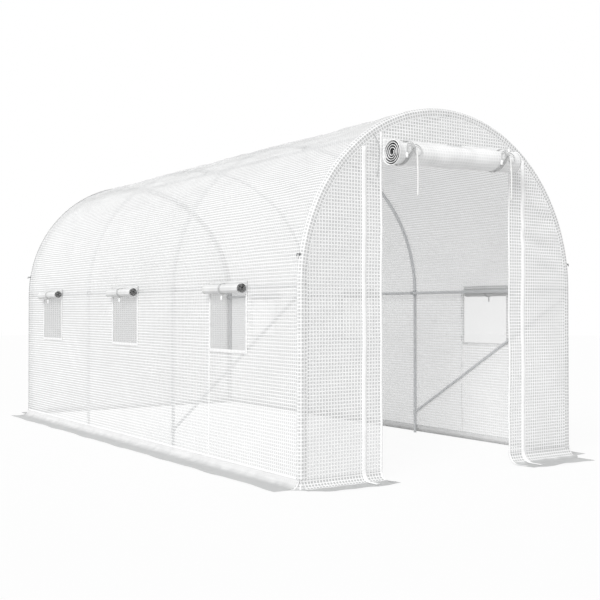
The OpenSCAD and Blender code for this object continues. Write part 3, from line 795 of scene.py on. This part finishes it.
def rolledPiece(name, r, place, tilt, turned, finish, replaced):
    # the rolled sheet, with a thick hem along both of its ends from where the hanging part stops
    along, out, up, run, u = rollGrid(r, np.linspace(-0.5, 0.5, rollMesh["columns"]) * r["length"], tilt)
    points = np.stack(place(along, out, up), -1)
    part = gridPart(*np.moveaxis(points, -1, 0), u, run, turned=turned)
    piece = addPiece(name, [part], finish, replaced, rollMesh["thick"])
    ends = [points[rollMesh["hangSteps"]:, k] for k in (0, -1)]
    rims = addPiece(name + "Rims", [tubeAlong(path, r["rim"]) for path in ends], whiteTape)


def onFront(along, out, up):
    # place of the rolled door on the front
    return rolls["door"]["x"] + along, front - out, doorHead + up


rolledPiece("doorRoll", rolls["door"], onFront, rolls["door"]["tilt"], True, woven["rolledDoor"], ["door_flap"])
for side, word in bothSides:
    for k, (y, tilt) in enumerate(zip(windows, rolls["flap"]["tilts"])):
        def onWall(along, out, up, y=y, side=side):
            # place of a window's flap on its wall
            return side * (half + out), y + along + rolls["flap"]["shift"], head + up
        rolledPiece(f"{word}Flap{k + 1}", rolls["flap"], onWall, tilt, side > 0, woven["rolledFlap"],
                    [word + "_window_flaps"] if k == 0 else [])
print("rolls made")


# door ties

tie = {
    "at": (-0.364, 0.330), "strap": 0.009, "thick": 0.0016, "lift": 0.0016, "shifts": (0.000, 0.013),
    "slant": (-0.020, 0.028), "steps": (65, 13), "uv": (0.065, 0.002),
    # loops of the bow, along the roll and round it from its front
    "loops": (((0, 0.025), (-0.018, 0.046), (-0.042, 0.030), (-0.050, -0.004),
               (-0.046, -0.024), (-0.030, -0.008), (-0.012, 0.014), (0, 0.025)),
              ((0, 0.025), (0.020, 0.040), (0.045, 0.030), (0.053, 0.008),
               (0.044, -0.014), (0.024, -0.018), (0.006, 0.002), (0, 0.025))),
    "loopLift": 0.0058, "loopRadius": 0.0026, "loopSteps": 70,
}
knot = {"reach": (0.009, -0.010), "at": 0.025, "lift": 0.0075, "radius": 0.0085, "blunt": 1.05, "steps": 9, "sides": 10}
bead = {"ends": ((-0.050, -0.044), (-0.006, -0.032)), "lift": 0.0085, "radius": 0.0072, "blunt": 1.03, "steps": 11,
        "sides": 12}
tail = {"at": (0.018, 0.006), "lift": 0.0095, "length": 0.238, "width": 0.010, "thick": 0.0014,
        "sway": 0.005, "swayTurn": 1.5, "bow": 0.004, "crown": 0.0006, "steps": 40, "columns": 5}


def onRoll(x, along, arc, lift):
    # point on the rolled door: along the roll and round it from its front, lifted off its surface
    door = rolls["door"]
    turn, r = arc / door["radius"], door["radius"] + lift
    middle = doorHead + (x + along - door["x"]) * math.tan(math.radians(door["tilt"]))
    axis = front - door["lift"] - door["radius"]
    return np.stack([x + along, axis - r * np.cos(turn), middle + r * np.sin(turn)], -1)


def strapPart(x, shift):
    # strap round the roll: a flat rounded section carried round a slanting ring
    tt, ww = crossed(*(np.linspace(0, 2 * math.pi, count) for count in tie["steps"]))
    along = shift + tie["slant"][0] + tie["slant"][1] * np.sin(tt) + tie["strap"] / 2 * np.cos(ww)
    p = onRoll(x, along, tt * rolls["door"]["radius"], tie["lift"] + tie["thick"] * (1 + np.sin(ww)) / 2)
    return gridPart(*np.moveaxis(p, -1, 0), tt * tie["uv"][0], ww * tie["uv"][1])


def beadPart(a, b, radius):
    # toggle: a rounded barrel from one point to the other
    t = np.linspace(-1, 1, bead["steps"])
    path = np.array(a) * (1 - t[:, None]) / 2 + np.array(b) * (1 + t[:, None]) / 2
    return tubeAlong(path, radius * barrel(t, bead["blunt"]), bead["sides"])


def addCord(name, part, finish, thick=0.0):
    # cord as a plain piece along its path; its length is the path's run
    piece = addPiece(name, [part], finish, (), thick)


tieParts, beads, tails = [], [], []
for x in tie["at"]:
    tieParts += [strapPart(x, shift) for shift in tie["shifts"]]
    for loop in tie["loops"]:
        path = onRoll(x, *smoothLine(loop, tie["loopSteps"]).T, tie["loopLift"])
        tieParts.append(tubeAlong(path, tie["loopRadius"]))
    t = np.linspace(-1, 1, knot["steps"])
    path = onRoll(x, knot["reach"][0] * t, knot["at"] + knot["reach"][1] * t, knot["lift"])
    tieParts.append(tubeAlong(path, knot["radius"] * barrel(t, knot["blunt"]), knot["sides"]))
    beads.append(beadPart(*onRoll(x, *np.array(bead["ends"]), bead["lift"]), bead["radius"]))
    tails.append(onRoll(x, *tail["at"], tail["lift"]))
# door ties in the grey webbing: painted shade
addPiece("doorTies", tieParts, shadedWebbing, ["door_ties"])
addPiece("doorBeads", beads, whiteTape)
for k, start in enumerate(tails):
    drop = np.linspace(0, 1, tail["steps"])
    path = np.stack([start[0] + tail["sway"] * np.sin(tail["swayTurn"] * drop),
                     start[1] - tail["bow"] * np.sin(math.pi * drop), start[2] - tail["length"] * drop], -1)
    x, y, z = path.T[..., None]
    share = np.linspace(-0.5, 0.5, tail["columns"])[None]
    across = share * tail["width"]
    part = gridPart(x + across, y - tail["crown"] * np.cos(share * math.pi), z, across, z, turned=True)
    addCord(f"doorTail{k + 1}", part, tieWebbing, tail["thick"])


# window ties

windowTie = {
    "pitch": 0.010, "cord": 0.0042, "thick": 0.0030, "lift": 0.0004, "steps": (49, 11), "uvRound": 0.002,
    "out": 0.008, "loop": ((0.006, -0.001), (0.001, -0.012), (-0.004, -0.001)),  # loop under the roll: along and up
    "loopRadius": 0.0020, "loopSteps": 16,
    "toggleAt": 0.001, "toggle": (0.010, 0.038), "toggleRadius": 0.0058,  # ends of the toggle below the roll
}


def bandPart(centre, radius):
    # cord round a window roll: a ring with a rounded section
    aa, ww = crossed(*(np.linspace(0, 2 * math.pi, count) for count in windowTie["steps"]))
    rad = radius + windowTie["thick"] * (1 + np.sin(ww)) / 2
    y = centre[1] + windowTie["cord"] / 2 * np.cos(ww)
    return gridPart(centre[0] + rad * np.cos(aa), y, centre[2] + rad * np.sin(aa), aa * radius,
                    ww * windowTie["uvRound"], turned=True)


for side, word in bothSides:
    bands, toggles, r = [], [], rolls["flap"]
    axisX = side * (half + r["lift"] + r["radius"])
    out, under = axisX + side * windowTie["out"], head - r["radius"]
    for y in windows:
        bands += [bandPart((axisX, y + share * windowTie["pitch"], head), r["radius"] + windowTie["lift"])
                  for share in (-0.5, 0.5)]
        loop = smoothLine([(out, y + along, under + up) for along, up in windowTie["loop"]], windowTie["loopSteps"])
        bands.append(tubeAlong(loop, windowTie["loopRadius"]))
        ends = [(out, y + windowTie["toggleAt"], under - drop) for drop in windowTie["toggle"]]
        toggles.append(beadPart(*ends, windowTie["toggleRadius"]))
    # window ties in the grey webbing: painted shade
    addPiece(word + "WindowTies", bands, shadedWebbing, [word + "_window_ties"])
    addPiece(word + "WindowToggles", toggles, whiteTape)


# loose pull cord that hangs from the panel beside the left door tape

pull = {"points": ((-0.529, 1.835), (-0.502, 1.790), (-0.491, 1.740), (-0.496, 1.680), (-0.505, 1.610)),
        "thick": 0.004, "lift": 0.0035, "steps": 40}
x, z = smoothLine(pull["points"], pull["steps"]).T
pullPath = np.stack([x, front - panelOut(x, z) - pull["lift"], z], -1)
# pull cord in the grey webbing: painted shade
addCord("pullCord", tubeAlong(pullPath, pull["thick"] / 2), shadedWebbing)
print("ties made")


# floor, light and camera

stage = {
    "floor": 0.75, "floorWhite": 0.93, "floorReach": (0.001, 30), "floorSteps": (12, 65), "floorDrop": 0.001,
    "world": 0.59, "sun": 2.45, "sunFrom": (-0.76, -0.52, 0.66), "sunSpread": 30,
}
view = {"place": (-3.725, -6.183, 0.898), "yaw": 33.754, "pitch": 0.609,
        "focal": 977.56, "width": 600, "sensor": 36}  # focal length and width of the picture in pixels


def seenDirectly(tree):
    # one for rays that show a picture: straight from the camera, in a reflection or through glass
    rays = addNode(tree, "LightPath", {}).outputs
    return calc(tree, "MAXIMUM", calc(tree, "MAXIMUM", rays["Is Camera Ray"], rays["Is Glossy Ray"]),
                rays["Is Transmission Ray"])


def plainFloor():
    # wide pale floor: a flat disc of rings, lit by the scene and shown near white to the camera
    rr, aa = crossed(np.linspace(*stage["floorReach"], stage["floorSteps"][0]),
                     np.linspace(0, 2 * math.pi, stage["floorSteps"][1]))
    points, quads = gridPart(rr * np.cos(aa), rr * np.sin(aa), -stage["floorDrop"], rr, aa, turned=True)[:2]
    mesh = bpy.data.meshes.new("floor")
    mesh.from_pydata(points.tolist(), [], quads.tolist())
    floor = bpy.data.objects.new("floor", mesh)
    bpy.context.collection.objects.link(floor)
    finish, tree = newFinish("paleFloor")
    matt = addNode(tree, "BsdfDiffuse", {"Color": (stage["floor"],) * 3})
    share = calc(tree, "MULTIPLY", seenDirectly(tree), stage["floorWhite"])
    whole = mixShaders(tree, share, matt, addNode(tree, "Emission", {}))
    addNode(tree, "OutputMaterial", {0: whole.outputs[0]})
    mesh.materials.append(finish)


def softWorld(level):
    # even studio light, shown as white where the camera sees it
    world = bpy.data.worlds.new("studio")
    bpy.context.scene.world = world
    world.use_nodes = True
    tree = world.node_tree
    tree.nodes.clear()
    light, white = (addNode(tree, "Background", {0: (1, 1, 1), 1: strength}) for strength in (level, 1.0))
    whole = mixShaders(tree, seenDirectly(tree), light, white)
    addNode(tree, "OutputWorld", {0: whole.outputs[0]})


def softSun(towards, strength, spread):
    # wide sun that shines from the given direction
    lamp = bpy.data.lights.new("key", "SUN")
    lamp.energy, lamp.angle = strength, math.radians(spread)
    key = bpy.data.objects.new("key", lamp)
    bpy.context.collection.objects.link(key)
    a = math.atan2(towards[1], towards[0])
    e = math.atan2(towards[2], math.hypot(towards[0], towards[1]))
    key.rotation_euler = (math.pi / 2 - e, 0, a + math.pi / 2)


lens = bpy.data.cameras.new("camera")
lens.sensor_width = view["sensor"]
lens.lens = view["focal"] * view["sensor"] / view["width"]
eye = bpy.data.objects.new("camera", lens)
eye.location = view["place"]
eye.rotation_euler = (math.radians(90 + view["pitch"]), 0, math.radians(-view["yaw"]))
bpy.context.collection.objects.link(eye)
bpy.context.scene.camera = eye
bpy.context.scene.view_settings.view_transform = "Standard"
plainFloor()
softWorld(stage["world"])
softSun(stage["sunFrom"], stage["sun"], stage["sunSpread"])
print("stage set")
